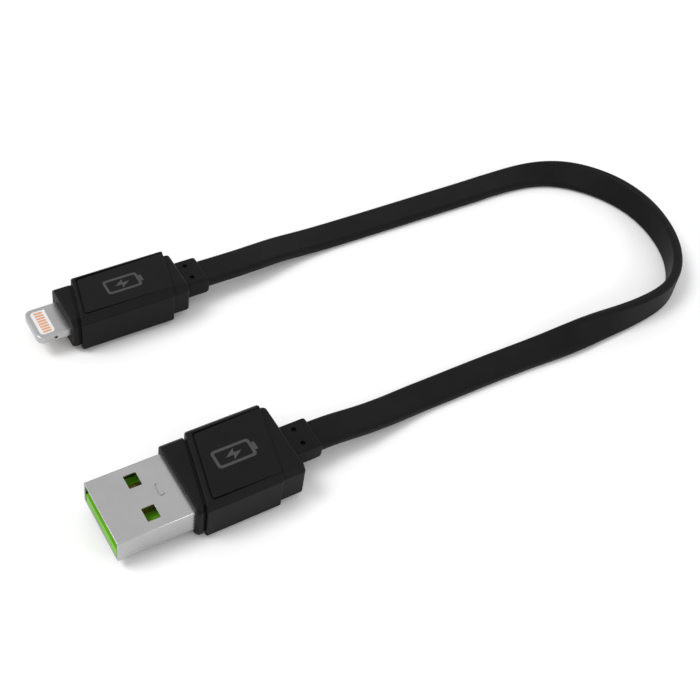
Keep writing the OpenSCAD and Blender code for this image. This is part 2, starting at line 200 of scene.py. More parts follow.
# Cable and strain reliefs.
CABLE_W, CABLE_H, CABLE_R = 5.4, 1.8, 0.7
RELIEF_W, RELIEF_H, RELIEF_CORNER = 6.0, 3.4, 0.45
RELIEF_SEAT_CORNER = 0.4
RELIEF_ROUND = 0.6       # round their ends, above and below
RELIEF_TAPER = 0.4       # narrowing at their ends, for each mm of that rounding
BORE_PLAY = 0.02
ANCHOR_W, ANCHOR_H, ANCHOR_STOP = 7.6, 4.6, 1.2
ANCHOR_CUT, ANCHOR_FILLET = 0.8, 0.05
HOLE_D, HOLE_Y, HOLE_DEPTH = 0.85, 1.45, 0.6    # the reliefs' small holes

# USB shell. Places are back from its mouth.
SHELL_W, SHELL_H, SHELL_CORNER = 12.0, 4.5, 0.35
SHEET = 0.3
SHELL_LIP = 0.1
SHELL_STEPS = 6
WINDOW_X, WINDOW_Y, WINDOW_LENGTH, WINDOW_HALF, WINDOW_CORNER = 5.45, 3.16, 2, 1.225, 0.15
HOOK = ((9.40, 1.10), (9.12, 1.14), (8.96, 0.6), (8.83, -0.70), (9.00, -0.98), (9.22, -1.05),
        (9.60, -0.98), (9.87, -0.82))
HOOK_HALF, HOOK_DEPTH = 0.055, 0.2
DIMPLE_X, DIMPLE_Y, DIMPLE_D, DIMPLE_DEPTH = 9.62, 0.95, 0.34, 0.05
METAL_EDGE = 0.06        # width of the shell's and the green insulator's bevels

# Phone plug's tab. Places are back from its tip.
TAB_W, TAB_T, TAB_CORNER = 6.7, 1.5, 1.2
TAB_BACK = 1.5           # its rear end, back from the collar's front face
TAB_ROUND, TAB_STEPS, TAB_POINTS = 0.2, 4, 160
BAY_X0, BAY_X1, BAY_W, BAY_CORNER, BAY_BEVEL = 0.75, 3.25, 5.2, 0.6, 0.05    # its window
LATCH_X0, LATCH_X1, LATCH_DEPTH = 1.3, 2.8, 0.4                              # its side pockets
LATCH_SHALLOW = 0.1      # share of that depth which is left at the pockets' lower edge
LATCH_HOLE_X = 0.2       # middle of the small hole, back from a pocket's rear end
LATCH_HOLE_R, LATCH_HOLE_DEPTH = 0.3, 0.5
INSULATOR_PLAY = 0.01
# Heights above or below the tab's middle plane.
LATCH_TOP, LATCH_BOTTOM = 0.28, -0.26
INSULATOR_HALF = 0.7
CONTACT_IN, CONTACT_OUT, CONTACT_CORNER = 0.3, 0.74, 0.17

CLEAR = 1                # how far a cutting tool runs past what it cuts


# ---------- places, from the frame ----------

def box_mm(node):
    """The low and high corners of a node, in millimetres in the row's frame."""
    return [Vector(p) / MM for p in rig.box(node)]


class Plug:
    """Where one plug stands, and the sizes of its moulding.

    inset: how far the collar and the tail lie inside the grip's outline
    cut: the 45 degree cut along the edges of all three
    rim: what the grip keeps in front of a panel's seat, and at each side of it
    opening: the hole for the metal end, as width, height and corner radius
    cavity: the room behind it, as width, height, cut and fillet
    cavity_x: where that room starts, back from the collar's front face
    hole_x: where the relief's small holes are, back from the tail
    """

    def __init__(self, name, inset, cut, rim, opening, cavity, cavity_x, hole_x):
        self.name = name
        lo, hi = box_mm(name + "_body")
        grip_lo, grip_hi = box_mm(name + "_grip")
        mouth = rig.box(name + "_strain_relief")[1][0] / MM
        anchor_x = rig.box(name + "_strain_relief")[0][0] / MM
        self.x, self.y = lo.x, (lo.y + hi.y) / 2
        self.mid = (lo.z + hi.z) / 2
        self.length = hi.x - lo.x
        self.width = grip_hi.y - grip_lo.y
        self.height = grip_hi.z - grip_lo.z
        self.ends = (grip_lo.x - lo.x + SLANT * self.width / 2,
                     grip_hi.x - lo.x - SLANT * self.width / 2)
        self.mouth = mouth - lo.x
        self.anchor = anchor_x - lo.x
        self.inset, self.cut, self.rim = inset, cut, rim
        self.opening, self.cavity, self.cavity_x, self.hole_x = opening, cavity, cavity_x, hole_x

    def place(self, point):
        """A point of the plug's own frame, in metres in the row's frame."""
        return Vector((point[0] + self.x, point[1] + self.y, point[2])) * MM


usb = Plug("usb", inset=0.45, cut=0.8, rim=(0.9, 1.15), opening=(SHELL_W, SHELL_H, SHELL_CORNER),
           cavity=(10.4, 5.0, 0.5, 0.05), cavity_x=7.0, hole_x=2.5)
phone = Plug("phone", inset=0.65, cut=1.0, rim=(0.6, 1.25), opening=(TAB_W, TAB_T, 0.3),
             cavity=(8.0, 4.2, 0.05, 0.02), cavity_x=1.0, hole_x=1.9)

# Route of the cable's centreline: x, y, height above lying on the floor, and turn of the flat
# side about the cable, in degrees. 0 lies flat, 90 stands on edge. The same points as the CAD's.
ROUTE = [
    (7, 0, 3, 0), (18, 0, 3, 0), (22, 0, 2.8, 0), (26, 0, 2.2, 0),
    (30, 0.3, 1.4, 0), (34, 0.7, 0.7, 0), (38, 1.1, 0.2, 0), (43, 1.2, 0, 0),
    (54, 1.2, 0, 0), (62, 1, 0, 2), (66.5, 0.7, 0, 9), (70, 0.4, 0, 22),
    (73.5, 0.1, 0, 42), (77.5, -0.1, 0, 60), (82.5, -0.3, 0, 74), (88, -0.1, 0, 82),
    (93.3, 0.7, 0, 86), (97.7, 2.8, 0, 89), (101.3, 6.3, 0, 92), (104, 10.9, 0, 95),
    (105.5, 16, 0, 99), (105.9, 21, 0, 104), (105.1, 25.7, 0, 110), (103.5, 29.7, 0, 120),
    (101.2, 33.3, 0, 132), (98.2, 36.5, 0, 145), (94.5, 38.9, 0, 160), (90, 40.3, 0, 172),
    (84, 40.9, 0, 180), (77, 40.9, 0, 180), (68, 41, 0, 180), (57, 41.1, 0, 180),
    (45, 41.2, 0.1, 180), (39, 41, 0.6, 180), (34, 40.6, 1.4, 180), (29, 39.8, 2.2, 180),
    (24, 39.2, 2.8, 180), (18.5, 39.1, 3, 180), (8.3, 39.1, 3, 180),
]
HELD_X = 18.4            # the route isn't smoothed below this x, just past the reliefs' mouths


# ---------- outlines ----------

def filleted(corners, radius, steps=4):
    """A convex polygon with every corner rounded, steps + 1 points a corner."""
    points = []
    count = len(corners)
    for i, corner in enumerate(corners):
        here = Vector(corner)
        to_a = Vector(corners[i - 1]) - here
        to_b = Vector(corners[(i + 1) % count]) - here
        half = to_a.angle(to_b) / 2
        reach = min(radius / math.tan(half), 0.49 * to_a.length, 0.49 * to_b.length)
        a = here + to_a.normalized() * reach
        b = here + to_b.normalized() * reach
        for k in range(steps + 1):
            t = k / steps
            w = 2 * t * (1 - t) * math.sin(half)
            total = (1 - t) ** 2 + w + t ** 2
            points.append((a * (1 - t) ** 2 + here * w + b * t ** 2) / total)
    return points


def profile(width, height, cut, radius, steps=4):
    """A rectangle with its corners cut at 45 degrees, and the cuts' ends rounded."""
    x, y = width / 2, height / 2
    cut = max(cut, 0.03)
    corners = [(x, cut - y), (x, y - cut), (x - cut, y), (cut - x, y),
               (-x, y - cut), (-x, cut - y), (cut - x, -y), (x - cut, -y)]
    return filleted(corners, max(radius, 0.02), steps)


def round_profile(width, height, radius, steps=4):
    """A rectangle with plain round corners, with as many points as profile() gives."""
    return profile(width, height, radius * (2 - math.sqrt(2)), radius, steps)


def inset_profile(width, height, cut, radius, inset, steps=4):
    """profile() with its whole outline moved in."""
    return profile(width - 2 * inset, height - 2 * inset,
                   cut - inset * (2 - math.sqrt(2)), radius - inset, steps)


def rectangle(x0, x1, y0, y1):
    """Corners of an upright rectangle."""
    return [(x0, y0), (x1, y0), (x1, y1), (x0, y1)]


def circle(x, y, radius, count=24):
    """Points round a circle."""
    return [(x + radius * math.cos(2 * math.pi * k / count),
             y + radius * math.sin(2 * math.pi * k / count)) for k in range(count)]


def across(outline, x, mid, lean=0.0):
    """An outline of y, z points as a ring across a plug, leaning in plan if asked."""
    return [(x + lean * p[0], p[0], mid + p[1]) for p in outline]


def leaning_corners(x0, x1, width):
    """Corners of a slab seen from above, with leaning ends."""
    y = width / 2
    return [(x0 - SLANT * y, -y), (x1 - SLANT * y, -y), (x1 + SLANT * y, y), (x0 + SLANT * y, y)]


def rounded_end(make, x, radius, mid, lean=0.0, sign=1, steps=4):
    """Rings of a rounded end. make(inset) gives the outline; sign is +1 for an end that faces -x."""
    rings = []
    for k in range(steps + 1):
        a = math.radians(90) * k / steps
        outline = make(radius * (1 - math.sin(a)))
        rings.append(across(outline, x + sign * radius * (1 - math.cos(a)), mid, lean))
    return rings if sign > 0 else rings[::-1]


# ---------- meshes ----------

def skin(rings, cyclic):
    """Quads between rings of equal count."""
    n, m = len(rings[0]), len(rings)
    faces = []
    for k in range(m if cyclic else m - 1):
        a, b = k * n, ((k + 1) % m) * n
        for j in range(n):
            i = (j + 1) % n
            faces.append((a + j, b + j, b + i, a + i))
    if not cyclic:
        faces.append(tuple(range(n)))
        faces.append(tuple((m - 1) * n + j for j in reversed(range(n))))
    return faces


def add_mesh(name, points, faces, place):
    """A mesh object from points in millimetres, with its faces turned outwards."""
    mesh = bpy.data.meshes.new(name)
    mesh.from_pydata([place(p) for p in points], [], faces)
    obj = bpy.data.objects.new(name, mesh)
    bpy.context.scene.collection.objects.link(obj)
    tidy(obj)
    return obj


def tidy(obj, merge=1e-7):
    """Joins doubled points and turns the faces outwards."""
    bm = bmesh.new()
    bm.from_mesh(obj.data)
    bmesh.ops.remove_doubles(bm, verts=bm.verts, dist=merge)
    bmesh.ops.dissolve_degenerate(bm, edges=bm.edges, dist=merge)
    bmesh.ops.recalc_face_normals(bm, faces=bm.faces)
    bm.to_mesh(obj.data)
    bm.free()


def lofted(name, rings, place, cyclic=False):
    """A mesh object skinned over rings of points."""
    return add_mesh(name, [p for ring in rings for p in ring], skin(rings, cyclic), place)


def apply_modifiers(obj):
    """Bakes an object's modifiers into its mesh."""
    bpy.context.view_layer.update()
    graph = bpy.context.evaluated_depsgraph_get()
    mesh = bpy.data.meshes.new_from_object(obj.evaluated_get(graph))
    obj.modifiers.clear()
    obj.data = mesh


def cut_out(obj, *tools):
    """Takes the tools' shapes out of obj, and drops the tools."""
    for tool in tools:
        modifier = obj.modifiers.new("cut", "BOOLEAN")
        modifier.operation = "DIFFERENCE"
        modifier.solver = "EXACT"
        modifier.object = tool
    apply_modifiers(obj)
    for tool in tools:
        bpy.data.objects.remove(tool)


def soften(obj, width, segments=2, angle=40):
    """Bevels the edges sharper than angle."""
    modifier = obj.modifiers.new("edges", "BEVEL")
    modifier.width = width * MM
    modifier.segments = segments
    modifier.limit_method = "ANGLE"
    modifier.angle_limit = math.radians(angle)
    apply_modifiers(obj)


def finish_piece(obj, material, slot, nodes=(), smooth_angle=35):
    """Shades a piece, gives it its material, and rides it on the body in place of its nodes."""
    obj.data.materials.clear()
    obj.data.materials.append(material)
    for polygon in obj.data.polygons:
        polygon.use_smooth = True
    obj.data.set_sharp_from_angle(angle=math.radians(smooth_angle))
    weigh = obj.modifiers.new("normals", "WEIGHTED_NORMAL")
    weigh.keep_sharp = True
    apply_modifiers(obj)
    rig.ride(obj, BODY)
    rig.slot(obj, slot)
    if nodes:
        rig.replaces(obj, *nodes)
    return obj


# ---------- materials ----------

def new_material(name, colour, roughness, metallic=0.0, specular=0.5):
    """A Principled material. Returns the material, its nodes, links and shader."""
    material = bpy.data.materials.new(name)
    material.use_nodes = True
    nodes, links = material.node_tree.nodes, material.node_tree.links
    shader = nodes["Principled BSDF"]
    shader.inputs["Base Color"].default_value = (*colour, 1)
    shader.inputs["Roughness"].default_value = roughness
    shader.inputs["Metallic"].default_value = metallic
    shader.inputs["Specular IOR Level"].default_value = specular
    return material, nodes, links, shader


def texture_point(nodes, links, stretch=(1, 1, 1)):
    """Object coordinates in millimetres, stretched."""
    place = nodes.new("ShaderNodeTexCoord")
    mapping = nodes.new("ShaderNodeMapping")
    mapping.inputs["Scale"].default_value = [s / MM for s in stretch]
    links.new(place.outputs["Object"], mapping.inputs["Vector"])
    return mapping.outputs["Vector"]


def noise(nodes, links, point, scale, detail):
    """Noise from 0 to 1 at the point."""
    texture = nodes.new("ShaderNodeTexNoise")
    texture.inputs["Scale"].default_value = scale
    texture.inputs["Detail"].default_value = detail
    links.new(point, texture.inputs["Vector"])
    return texture.outputs["Fac"]


def ramp(nodes, links, value, low, high, start=0.3, end=0.7):
    """value between start and end, as a colour between low and high."""
    colours = nodes.new("ShaderNodeValToRGB")
    colours.color_ramp.elements[0].position = start
    colours.color_ramp.elements[0].color = (*low, 1)
    colours.color_ramp.elements[1].position = end
    colours.color_ramp.elements[1].color = (*high, 1)
    links.new(value, colours.inputs["Fac"])
    return colours.outputs["Color"]


def vary_roughness(nodes, links, shader, value, low, high):
    """Roughness from low to high as value goes from 0 to 1."""
    span = nodes.new("ShaderNodeMapRange")
    span.inputs["To Min"].default_value = low
    span.inputs["To Max"].default_value = high
    links.new(value, span.inputs["Value"])
    links.new(span.outputs["Result"], shader.inputs["Roughness"])


def bump(nodes, links, shader, height, strength, depth_mm):
    """A bump of depth_mm where height goes from 0 to 1."""
    relief = nodes.new("ShaderNodeBump")
    relief.inputs["Strength"].default_value = strength
    relief.inputs["Distance"].default_value = depth_mm * MM
    links.new(height, relief.inputs["Height"])
    links.new(relief.outputs["Normal"], shader.inputs["Normal"])


DRIFT_SCALE, GLOSS_SPREAD = 0.35, 0.06
CLOUD_SCALE, BRUSH_SCALE, BRUSH_BUMP = 0.25, 1.6, 0.06


def grained(name, colour, roughness, grain=9.0, depth=0.012, spread=0.12, specular=0.5, strength=0.35):
    """Moulded plastic or rubber: fine spark-eroded grain, and a slow drift of tone and gloss."""
    material, nodes, links, shader = new_material(name, colour, roughness, specular=specular)
    point = texture_point(nodes, links)
    slow = noise(nodes, links, point, DRIFT_SCALE, 2.0)
    low = [c * (1 - spread) for c in colour]
    high = [c * (1 + spread) for c in colour]
    links.new(ramp(nodes, links, slow, low, high), shader.inputs["Base Color"])
    fine = noise(nodes, links, point, grain, 4.0)
    vary_roughness(nodes, links, shader, fine, roughness - GLOSS_SPREAD, roughness + GLOSS_SPREAD)
    bump(nodes, links, shader, fine, strength, depth)
    return material


def metal(name, colour, roughness, stretch=(0.15, 6, 6), depth=0.004, spread=0.06):
    """Plated sheet metal with a faint brushed or rolled grain along x."""
    material, nodes, links, shader = new_material(name, colour, roughness, metallic=1.0)
    grain = noise(nodes, links, texture_point(nodes, links, stretch), BRUSH_SCALE, 4.0)
    cloud = noise(nodes, links, texture_point(nodes, links), CLOUD_SCALE, 2.0)
    low = [c * (1 - spread) for c in colour]
    links.new(ramp(nodes, links, cloud, low, colour), shader.inputs["Base Color"])
    vary_roughness(nodes, links, shader, grain, roughness - 0.03, roughness + 0.04)
    bump(nodes, links, shader, grain, BRUSH_BUMP, depth)
    return material


BLACK = (0.0050, 0.0050, 0.0052)
MATERIALS = {
    "plug_steel": metal("plug_steel", (0.465, 0.465, 0.47), 0.26),
    "tab_metal": metal("tab_metal", (0.46, 0.46, 0.465), 0.30, (0.3, 3, 3)),
    "can_metal": metal("can_metal", (0.58, 0.58, 0.57), 0.38, (0.3, 3, 3)),
    "contact_gold": metal("contact_gold", (0.75, 0.52, 0.18), 0.28, (0.2, 5, 5)),
    "contact_copper": metal("contact_copper", (0.88, 0.44, 0.27), 0.34, (0.4, 4, 4)),
    "copper": metal("copper", (0.80, 0.38, 0.20), 0.35, (0.2, 8, 8)),
    "solder": metal("solder", (0.62, 0.62, 0.64), 0.25, (1, 1, 1)),
    "green_plastic": grained("green_plastic", (0.135, 0.420, 0.012), 0.42, grain=6.0, depth=0.006,
                             specular=0.15),
    "white_plastic": grained("white_plastic", (0.66, 0.66, 0.65), 0.40, grain=6.0, depth=0.004, spread=0.03),
    "inner_plastic": grained("inner_plastic", (0.66, 0.63, 0.55), 0.50, grain=3.0, depth=0.01, spread=0.05),
    "black_plastic": grained("black_plastic", BLACK, 0.50, specular=0.11),
    "black_panel": grained("black_panel", BLACK, 0.46, grain=12.0, depth=0.008, specular=0.11),
    "black_rubber": grained("black_rubber", BLACK, 0.55, grain=7.0, specular=0.10),
    "black_jacket": grained("black_jacket", BLACK, 0.52, grain=5.0, depth=0.014, specular=0.10),
    "grey_mark": grained("grey_mark", (0.040, 0.040, 0.041), 0.55, grain=14.0, depth=0.006, specular=0.3),
    "wire_red": grained("wire_red", (0.43, 0.03, 0.02), 0.45, grain=4.0, depth=0.006),
    "wire_white": grained("wire_white", (0.78, 0.78, 0.76), 0.45, grain=4.0, depth=0.006, spread=0.03),
    "wire_green": grained("wire_green", (0.03, 0.25, 0.06), 0.45, grain=4.0, depth=0.006),
    "wire_black": grained("wire_black", (0.015, 0.015, 0.015), 0.45, grain=4.0, depth=0.006),
    "board_green": grained("board_green", (0.02, 0.14, 0.05), 0.35, grain=10.0, depth=0.004),
    "chip_black": grained("chip_black", (0.014, 0.014, 0.015), 0.55, grain=12.0, depth=0.006),
}


# ---------- camera ----------

CAMERA_AT = (-53.5, -91.9, 153.9)
CAMERA_RIGHT = (0.8480, -0.5145, 0.1269)
CAMERA_BACK = (-0.4256, -0.5187, 0.7415)
CAMERA_LENS = 62.0


def add_camera():
    """The photograph's view: from in front and above, to the left, rolled a little."""
    data = bpy.data.cameras.new("camera")
    data.lens = CAMERA_LENS
    data.clip_start = 0.005
    data.clip_end = 20
    camera = bpy.data.objects.new("camera", data)
    right = Vector(CAMERA_RIGHT)
    back = Vector(CAMERA_BACK)
    up = back.cross(right).normalized()
    right = up.cross(back).normalized()
    turn = Matrix((right, up, back.normalized())).transposed()
    camera.matrix_world = Matrix.Translation(Vector(CAMERA_AT) * MM) @ turn.to_4x4()
    bpy.context.scene.collection.objects.link(camera)
    bpy.context.scene.camera = camera


# ---------- the cable ----------

def resting(turn):
    """Height of the cable's centreline when it lies on the floor, turned by turn radians."""
    return (abs(math.sin(turn)) * (CABLE_W / 2 - CABLE_R)
            + abs(math.cos(turn)) * (CABLE_H / 2 - CABLE_R) + CABLE_R)


def smooth_route(step=0.7, passes=12):
    """The route as close stations (x, y, lift, turn) on one smooth curve through its points."""
    points = [Vector(p) for p in ROUTE]
    stations = []
    for i, (a, b) in enumerate(zip(points, points[1:])):
        before, after = points[max(i - 1, 0)], points[min(i + 2, len(points) - 1)]
        count = max(1, round((b.xy - a.xy).length / step))
        for k in range(count):
            t = k / count
            stations.append((2 * a + t * (b - before) + t ** 2 * (2 * before - 5 * a + 4 * b - after)
                             + t ** 3 * (3 * a - before - 3 * b + after)) / 2)
    stations.append(points[-1])
    held = {i for i, s in enumerate(stations) if s.x < HELD_X}
    for _ in range(passes):
        stations = [s if i in held else (stations[i - 1] + 2 * s + stations[i + 1]) / 4
                    for i, s in enumerate(stations)]
    return stations


def cable_sections():
    """Centre, direction across the flat, and normal to the flat, at each station."""
    stations = smooth_route()
    sections = []
    for i, s in enumerate(stations):
        a, b = stations[max(i - 1, 0)], stations[min(i + 1, len(stations) - 1)]
        along = Vector((b.x - a.x, b.y - a.y, 0)).normalized()
        inward = Vector((-along.y, along.x, 0))
        up = Vector((0, 0, 1))
        turn = math.radians(s[3])
        wide = math.cos(turn) * inward + math.sin(turn) * up
        normal = math.cos(turn) * up - math.sin(turn) * inward
        sections.append((Vector((s.x, s.y, s[2] + resting(turn))), wide, normal))
    return sections


def add_cable():
    """The flat jacket, swept along the route. Returns it and its centreline in metres."""
    outline = round_profile(CABLE_W, CABLE_H, CABLE_R)
    sections = cable_sections()
    rings = [[centre + p[0] * wide + p[1] * normal for p in outline] for centre, wide, normal in sections]
    jacket = lofted("flat_cable_jacket", rings, lambda p: Vector(p) * MM)
    finish_piece(jacket, MATERIALS["black_jacket"], "black_jacket", ["cable_jacket"])
    return jacket, [tuple(centre * MM) for centre, _, _ in sections]


# ---------- mouldings, shared by both plugs ----------

def core_outline(plug):
    """The core that the grip sleeve sits on, seen along the plug."""
    return profile(plug.width - 2 * GRIP_WALL, plug.height - 2 * GRIP_WALL, plug.cut, CORE_FILLET)


def add_body(plug):
    """Collar, core under the grip, and tail, in one piece, hollow inside."""
    full = (plug.width - 2 * plug.inset, plug.height - 2 * plug.inset, plug.cut, BODY_FILLET)

    def outline(inset):
        return inset_profile(*full, inset)

    mid, stop = plug.mid, plug.length - ANCHOR_STOP
    hole, cavity = round_profile(*plug.opening), profile(*plug.cavity)
    core = core_outline(plug)
    relief = round_profile(RELIEF_W, RELIEF_H, RELIEF_SEAT_CORNER)
    anchor = profile(ANCHOR_W, ANCHOR_H, ANCHOR_CUT, ANCHOR_FILLET)
    front, back = plug.ends[0] - GAP, plug.ends[1]
    rings = [across(hole, 0, mid)]
    rings += rounded_end(outline, 0, COLLAR_ROUND, mid)
    rings += rounded_end(outline, front, STEP_ROUND, mid, SLANT, -1)
    rings += [across(core, front, mid, SLANT), across(core, back, mid, SLANT)]
    rings += rounded_end(outline, back, STEP_ROUND, mid, SLANT)
    rings += rounded_end(outline, plug.length, TAIL_ROUND, mid, 0, -1)
    rings += [across(relief, plug.length, mid), across(relief, stop, mid),
              across(anchor, stop, mid), across(anchor, plug.anchor, mid),
              across(cavity, plug.anchor, mid), across(cavity, plug.cavity_x, mid),
              across(hole, plug.cavity_x, mid)]
    body = lofted(plug.name + "_moulded_body", rings, plug.place, cyclic=True)
    return finish_piece(body, MATERIALS["black_plastic"], "black_plastic", [plug.name + "_body"])


def seat_corners(plug):
    """Corners of a panel's seat, which is open at the grip's rear end."""
    return leaning_corners(plug.ends[0] + plug.rim[0], plug.ends[1] + CLEAR,
                           plug.width - 2 * plug.rim[1])


def panel_corners(plug, inset):
    """Corners of a panel. The groove along its sides narrows towards the rear."""
    x0, y0 = plug.ends[0] + plug.rim[0] + GROOVE + inset, plug.width / 2 - plug.rim[1] - GROOVE - inset
    x1, y1 = plug.ends[1] - PANEL_PLAY - inset, plug.width / 2 - plug.rim[1] - PANEL_PLAY - inset
    return [(x0 - SLANT * y0, -y0), (x1 - SLANT * y1, -y1), (x1 + SLANT * y1, y1), (x0 + SLANT * y0, y0)]


def upright(name, outline, z0, z1, place, edge=0.0, steps=3):
    """A plate with outline(0) for its foot, and its top edge rounded by edge."""
    rings = [[(p[0], p[1], z0) for p in outline(0)]]
    for k in range(steps + 1):
        a = math.radians(90) * k / steps
        top = z1 - edge * (1 - math.sin(a))
        rings.append([(p[0], p[1], top) for p in outline(edge * (1 - math.cos(a)))])
        if not edge:
            break
    return lofted(name, rings, place)


def add_grip(plug):
    """The sleeve with leaning ends, and a seat above and below for the panels."""
    full = (plug.width, plug.height, plug.cut, GRIP_FILLET)

    def outline(inset):
        return inset_profile(*full, inset)

    front, back = plug.ends
    core = core_outline(plug)
    rings = rounded_end(outline, front, GRIP_ROUND, plug.mid, SLANT)
    rings += rounded_end(outline, back, GRIP_ROUND, plug.mid, SLANT, -1)
    rings += [across(core, back, plug.mid, SLANT), across(core, front, plug.mid, SLANT)]
    grip = lofted(plug.name + "_grip_sleeve", rings, plug.place, cyclic=True)
    seat = filleted(seat_corners(plug), SEAT_CORNER)
    spans = ((plug.height - PANEL_DEPTH, plug.height + CLEAR), (-CLEAR, PANEL_DEPTH))
    cut_out(grip, *[upright("tool", lambda inset: seat, z0, z1, plug.place) for z0, z1 in spans])
    return finish_piece(grip, MATERIALS["black_plastic"], "black_plastic", [plug.name + "_grip"])


def add_panel(plug, top):
    """One panel, in its seat. It is made lying on the floor, then moved or turned over."""
    def outline(inset):
        return filleted(panel_corners(plug, inset), PANEL_CORNER - inset)

    name = plug.name + ("_upper_panel" if top else "_lower_panel")
    panel = upright(name, outline, 0, PANEL_DEPTH, lambda p: p, PANEL_ROUND)
    for vertex in panel.data.vertices:
        x, y, z = vertex.co
        vertex.co = plug.place((x, y, plug.height - PANEL_DEPTH + z if top else PANEL_DEPTH - z))
    tidy(panel)
    return finish_piece(panel, MATERIALS["black_panel"], "black_panel",
                        [plug.name + ("_panel_top" if top else "_panel_bottom")])


def plate_with_hole(name, outer, inner, z0, z1, place):
    """A flat ring between two outlines of equal count."""
    rings = [[(p[0], p[1], z0) for p in outer], [(p[0], p[1], z1) for p in outer],
             [(p[0], p[1], z1) for p in inner], [(p[0], p[1], z0) for p in inner]]
    return lofted(name, rings, place, cyclic=True)


def add_mark(plug):
    """A plain charging sign: a battery with a lightning bolt, printed on the upper panel."""
    lo, hi = box_mm(plug.name + "_mark")
    h = hi.y - lo.y
    long, line = SIGN_LENGTH * h, SIGN_LINE * h
    middle = lo.x - plug.x + long / 2
    span = (plug.height - SIGN_SUNK, plug.height + SIGN_PROUD)

    def at(points):
        return [(middle + p[0], p[1]) for p in points]

    def slab(length, width, radius):
        return at(filleted(rectangle(-length / 2, length / 2, -width / 2, width / 2), radius))

    case = plate_with_hole(plug.name + "_charge_sign", slab(long, h, SIGN_CORNER),
                           slab(long - 2 * line, h - 2 * line, SIGN_INNER_CORNER), *span, plug.place)
    nub = filleted(rectangle(long / 2 + NUB_GAP, long / 2 + NUB_LENGTH * h, -NUB_HALF * h, NUB_HALF * h),
                   NUB_CORNER)
    bolt = [(h * x, h * y) for x, y in BOLT]
    join(case, [upright("nub", lambda inset: at(nub), *span, plug.place),
                upright("bolt", lambda inset: at(bolt), *span, plug.place)])
    return finish_piece(case, MATERIALS["grey_mark"], "grey_mark", [plug.name + "_mark"])


def join(obj, others):
    """Adds the others' meshes to obj."""
    bm = bmesh.new()
    bm.from_mesh(obj.data)
    for other in others:
        bm.from_mesh(other.data)
        bpy.data.objects.remove(other)
    bm.to_mesh(obj.data)
    bm.free()


def rod(name, x, y, z0, z1, diameter, place):
    """An upright round rod."""
    return lofted(name, [[(*p, z) for p in circle(x, y, diameter / 2)] for z in (z0, z1)], place)


def add_relief(plug):
    """The flat strain relief, with two small round holes above and two below."""
    def outline(inset):
        return round_profile(RELIEF_W - RELIEF_TAPER * inset, RELIEF_H - 2 * inset, RELIEF_CORNER)

    bore = round_profile(CABLE_W + BORE_PLAY, CABLE_H + BORE_PLAY, CABLE_R)
    anchor = profile(ANCHOR_W, ANCHOR_H, ANCHOR_CUT, ANCHOR_FILLET)
    stop = plug.length - ANCHOR_STOP
    rings = [across(bore, plug.anchor, plug.mid), across(anchor, plug.anchor, plug.mid),
             across(anchor, stop, plug.mid), across(outline(0), stop, plug.mid)]
    rings += rounded_end(outline, plug.mouth, RELIEF_ROUND, plug.mid, 0, -1)
    rings += [across(bore, plug.mouth, plug.mid)]
    relief = lofted(plug.name + "_flat_strain_relief", rings, plug.place, cyclic=True)
    tools = []
    for side in (-1, 1):
        for up in (-1, 1):
            z = plug.mid + up * RELIEF_H / 2
            tools.append(rod("tool", plug.length + plug.hole_x, side * HOLE_Y,
                             z - HOLE_DEPTH, z + HOLE_DEPTH, HOLE_D, plug.place))
    cut_out(relief, *tools)
    return finish_piece(relief, MATERIALS["black_rubber"], "black_rubber",
                        [plug.name + "_strain_relief"])


# ---------- USB plug's contact end ----------

def stamp_tools(front):
    """A thin hook-shaped stamping in the shell's upper face, with a dimple at its far end."""
    path = [Vector(p) for p in HOOK]
    left, right = [], []
    for i, p in enumerate(path):
        along = (path[min(i + 1, len(path) - 1)] - path[max(i - 1, 0)]).normalized()
        side = Vector((-along.y, along.x)) * HOOK_HALF
        left.append((front + p.x + side.x, p.y + side.y))
        right.append((front + p.x - side.x, p.y - side.y))
    top = usb.mid + SHELL_H / 2
    return [upright("tool", lambda inset: left + right[::-1], top - HOOK_DEPTH, top + CLEAR, usb.place),
            rod("tool", front + DIMPLE_X, DIMPLE_Y, top - DIMPLE_DEPTH, top + CLEAR, DIMPLE_D, usb.place)]


def window_tool(x0, y):
    """A bar through the shell's upper and lower faces, as wide as one of its windows."""
    window = filleted(rectangle(x0, x0 + WINDOW_LENGTH, y - WINDOW_HALF, y + WINDOW_HALF), WINDOW_CORNER)
    return upright("tool", lambda inset: window, -CLEAR, usb.height + CLEAR, usb.place)


def add_shell():
    """The folded steel shell with its four latch windows."""
    lo, hi = box_mm("usb_shell")
    front, back = lo.x - usb.x, hi.x - usb.x
    width, height = hi.y - lo.y, hi.z - lo.z

    def outer(inset):
        return round_profile(width - 2 * inset, height - 2 * inset, SHELL_CORNER - inset, SHELL_STEPS)

    def inner(grow):
        return round_profile(width - 2 * SHEET + 2 * grow, height - 2 * SHEET + 2 * grow,
                             SHELL_CORNER - SHEET + grow, SHELL_STEPS)

    rings = [across(inner(SHELL_LIP), front, usb.mid)]
    rings += rounded_end(outer, front, SHELL_LIP, usb.mid)
    rings += [across(outer(0), back, usb.mid), across(inner(0), back, usb.mid),
              across(inner(0), front + SHELL_LIP, usb.mid)]
    shell = lofted("usb_steel_shell", rings, usb.place, cyclic=True)
    windows = [window_tool(front + WINDOW_X, side * WINDOW_Y) for side in (-1, 1)]
    cut_out(shell, *windows, *stamp_tools(front))
    soften(shell, METAL_EDGE, angle=50)
    return finish_piece(shell, MATERIALS["plug_steel"], "plug_steel", ["usb_shell"])


